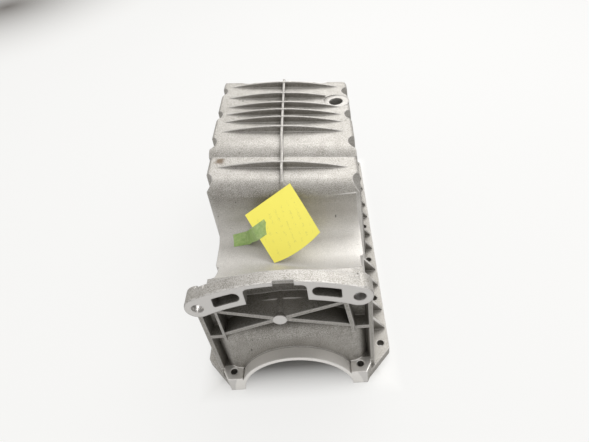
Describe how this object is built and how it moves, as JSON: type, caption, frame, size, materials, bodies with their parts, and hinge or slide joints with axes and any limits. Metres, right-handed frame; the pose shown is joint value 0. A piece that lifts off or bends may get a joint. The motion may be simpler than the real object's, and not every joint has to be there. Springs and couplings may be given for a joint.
{
  "type": "engine oil pan",
  "caption": "Cast engine oil pan with deep ribbed sump, shallow valley, bell-housing flange, seal arch and drain boss, with a taped paper note.",
  "frame": {"origin": "centre of the pan's box in X and Y, on the gasket face of the rail", "axes": "+Z from the gasket face up to the sump floor, as the pan lies in the picture; +Y from the bell-housing flange to the far end; +X across, to the right seen from the flange"},
  "size_m": [0.2452, 0.486, 0.2154],
  "materials": {
    "cast_aluminium": "as-cast, matt",
    "note_paper": "matt paper",
    "green_tape": "thin film, slightly glossy"
  },
  "bodies": {
    "root": {"oil_pan_casting": "cast_aluminium", "paper_note": "note_paper", "tape_strip": "green_tape"}
  },
  "joints": []
}
